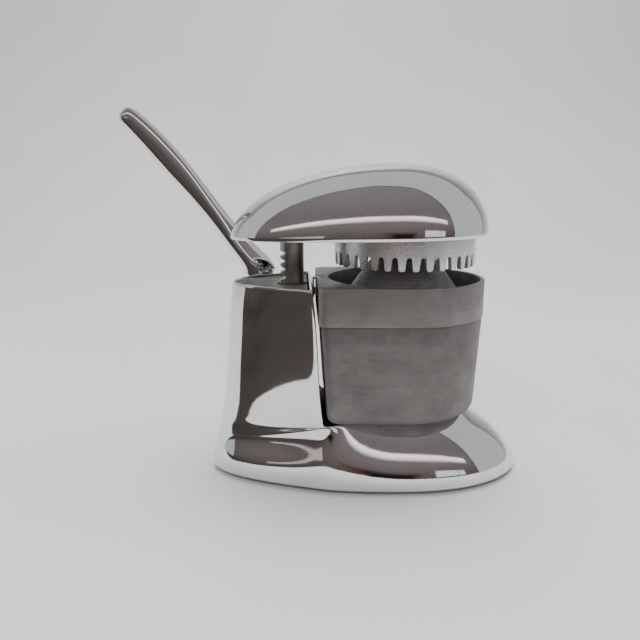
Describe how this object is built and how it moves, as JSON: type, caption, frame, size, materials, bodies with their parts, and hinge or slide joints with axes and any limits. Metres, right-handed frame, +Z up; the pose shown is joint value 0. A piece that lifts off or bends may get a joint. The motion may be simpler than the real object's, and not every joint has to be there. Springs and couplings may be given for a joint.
{
  "type": "citrus press juicer",
  "caption": "Free-standing lever press for citrus halves: chrome stand, geared rack post, domed head with a fingered crown, and a lift-out aluminium pot with a strainer cone.",
  "frame": {"origin": "the middle of the box round the whole press in plan, at the table that its rubber feet stand on", "axes": "+X to the front, where the foot's rounded toe is; +Z up; the lever is on the +Y side"},
  "size_m": [0.2712, 0.1134, 0.2407],
  "materials": {
    "chrome": "polished",
    "dull_aluminium": "dull, mottled cast surface",
    "bright_aluminium": "worn polish",
    "dull_plate": "dull grey-green",
    "steel": "dark, oiled",
    "bronze": "oiled bearing bronze",
    "rubber": "matt"
  },
  "bodies": {
    "stand": {"base_casting": "chrome", "column_cover": "dull_plate", "cover_screws": "steel", "upper_guide_bush": "bronze", "lower_guide_bush": "bronze", "near_axle_bush": "bronze", "far_axle_bush": "bronze", "rubber_feet": "rubber", "foot_screws": "steel", "pot_tab": "steel", "tab_screw": "steel", "strainer_ring": "dull_aluminium", "strainer_cone": "dull_aluminium", "juice_cup": "dull_aluminium"},
    "lever_arm": {"axle": "steel", "pinion": "steel", "pinion_pin": "steel", "spring_washer": "steel", "lever": "chrome", "lever_key": "steel", "lever_washer": "chrome", "lever_screw": "chrome"},
    "press": {"rack_post": "steel", "press_head": "chrome", "post_set_screw": "steel", "press_crown": "bright_aluminium", "crown_screw": "steel"}
  },
  "joints": [
    {"name": "lever_swing", "type": "hinge", "parent": "stand", "child": "lever_arm", "pos_m": [-0.03729, -0.0053, 0.1054], "axis": [0, 1, 0], "range_deg": [-82, 70]},
    {"name": "press_slide", "type": "slide", "parent": "stand", "child": "press", "axis": [0, 0, 1], "range_m": [-0.0186, 0.0218]}
  ],
  "couplings": [
    {"joint": "press_slide", "follows": "lever_swing", "m_per_rad": -0.015081}
  ]
}
